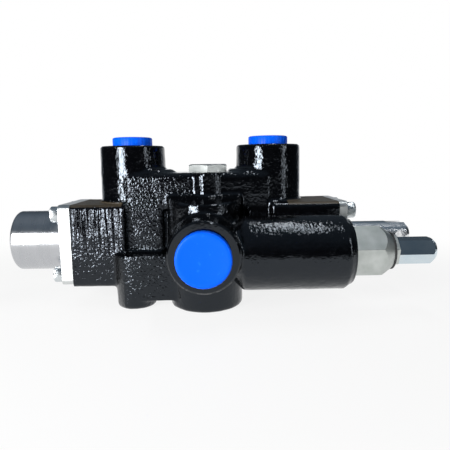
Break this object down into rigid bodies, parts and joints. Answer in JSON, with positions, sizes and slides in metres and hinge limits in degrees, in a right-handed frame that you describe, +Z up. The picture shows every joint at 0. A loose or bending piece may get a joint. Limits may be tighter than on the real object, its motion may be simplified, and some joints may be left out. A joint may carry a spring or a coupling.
{
  "type": "hydraulic monoblock directional valve",
  "caption": "Spool-type hydraulic monoblock directional valve in black cast iron, with relief valve, spring-centring cap and plastic plugs in its ports.",
  "frame": {"origin": "on the mounting face, under the spool axis and in line with the inlet port", "axes": "+X along the spool towards its link end, -Y towards the inlet port, +Z up"},
  "size_m": [0.2237, 0.1092, 0.0908],
  "materials": {
    "black_casting": "gloss",
    "zinc_plated_steel": "satin",
    "aluminium": "satin",
    "chromed_spool": "gloss",
    "spring_steel": "satin",
    "nitrile_rubber": "matte",
    "blue_plastic": "satin"
  },
  "bodies": {
    "housing": {"valve_body": "black_casting", "cap_plate": "zinc_plated_steel", "cap_plate_screws": "zinc_plated_steel", "spring_cap": "aluminium", "end_plate": "zinc_plated_steel", "end_plate_screws": "zinc_plated_steel", "spool_seal_left": "nitrile_rubber", "spool_seal_right": "nitrile_rubber", "spool_wiper": "nitrile_rubber", "spring_seat_inner": "zinc_plated_steel", "centring_spring": "spring_steel", "check_plug": "zinc_plated_steel", "check_plug_seal": "nitrile_rubber", "check_spring": "spring_steel", "relief_plug": "zinc_plated_steel", "relief_seat": "zinc_plated_steel", "relief_spring": "spring_steel", "relief_seal": "nitrile_rubber", "relief_lock_nut": "zinc_plated_steel"},
    "spool": {"spool": "chromed_spool", "stem_bolt": "zinc_plated_steel", "stem_spacer": "zinc_plated_steel", "spring_seat_outer": "zinc_plated_steel"},
    "check_poppet": {"check_poppet": "zinc_plated_steel"},
    "relief_poppet": {"relief_poppet": "zinc_plated_steel"},
    "relief_button": {"relief_spring_button": "zinc_plated_steel"},
    "relief_adjuster": {"relief_adjuster": "zinc_plated_steel"},
    "relief_cap_nut": {"relief_cap_nut": "zinc_plated_steel"},
    "port_plug_a": {"port_plug_a": "blue_plastic"},
    "port_plug_b": {"port_plug_b": "blue_plastic"},
    "port_plug_p": {"port_plug_p": "blue_plastic"},
    "port_plug_t": {"port_plug_t": "blue_plastic"}
  },
  "joints": [
    {"name": "spool_slide", "type": "slide", "parent": "housing", "child": "spool", "axis": [1, 0, 0], "range_m": [-0.006, 0.006], "stiffness_N_per_m": 5000, "deforming": ["centring_spring"]},
    {"name": "check_lift", "type": "slide", "parent": "housing", "child": "check_poppet", "axis": [0, 0, 1], "range_m": [0, 0.003], "stiffness_N_per_m": 500, "springref_m": -0.004, "deforming": ["check_spring"]},
    {"name": "relief_lift", "type": "slide", "parent": "housing", "child": "relief_poppet", "axis": [1, 0, 0], "range_m": [0, 0.0025], "stiffness_N_per_m": 4000, "springref_m": -0.002, "deforming": ["relief_spring"]},
    {"name": "relief_button_slide", "type": "slide", "parent": "housing", "child": "relief_button", "axis": [1, 0, 0], "range_m": [-0.0025, 0.00125], "deforming": ["relief_spring"]},
    {"name": "relief_adjuster_turn", "type": "hinge", "parent": "relief_button", "child": "relief_adjuster", "pos_m": [0.09, -0.038, 0.0316], "axis": [1, 0, 0], "range_deg": [-720, 360]},
    {"name": "relief_cap_nut_off", "type": "slide", "parent": "housing", "child": "relief_cap_nut", "axis": [1, 0, 0], "range_m": [0, 0.026]},
    {"name": "port_plug_a_out", "type": "slide", "parent": "housing", "child": "port_plug_a", "axis": [0, 0, 1], "range_m": [0, 0.014]},
    {"name": "port_plug_b_out", "type": "slide", "parent": "housing", "child": "port_plug_b", "axis": [0, 0, 1], "range_m": [0, 0.014]},
    {"name": "port_plug_p_out", "type": "slide", "parent": "housing", "child": "port_plug_p", "axis": [0, -1, 0], "range_m": [0, 0.016]},
    {"name": "port_plug_t_out", "type": "slide", "parent": "housing", "child": "port_plug_t", "axis": [0, 1, 0], "range_m": [0, 0.016]}
  ],
  "couplings": [
    {"joint": "relief_adjuster_turn", "follows": "relief_button_slide", "rad_per_m": 5026.5}
  ]
}
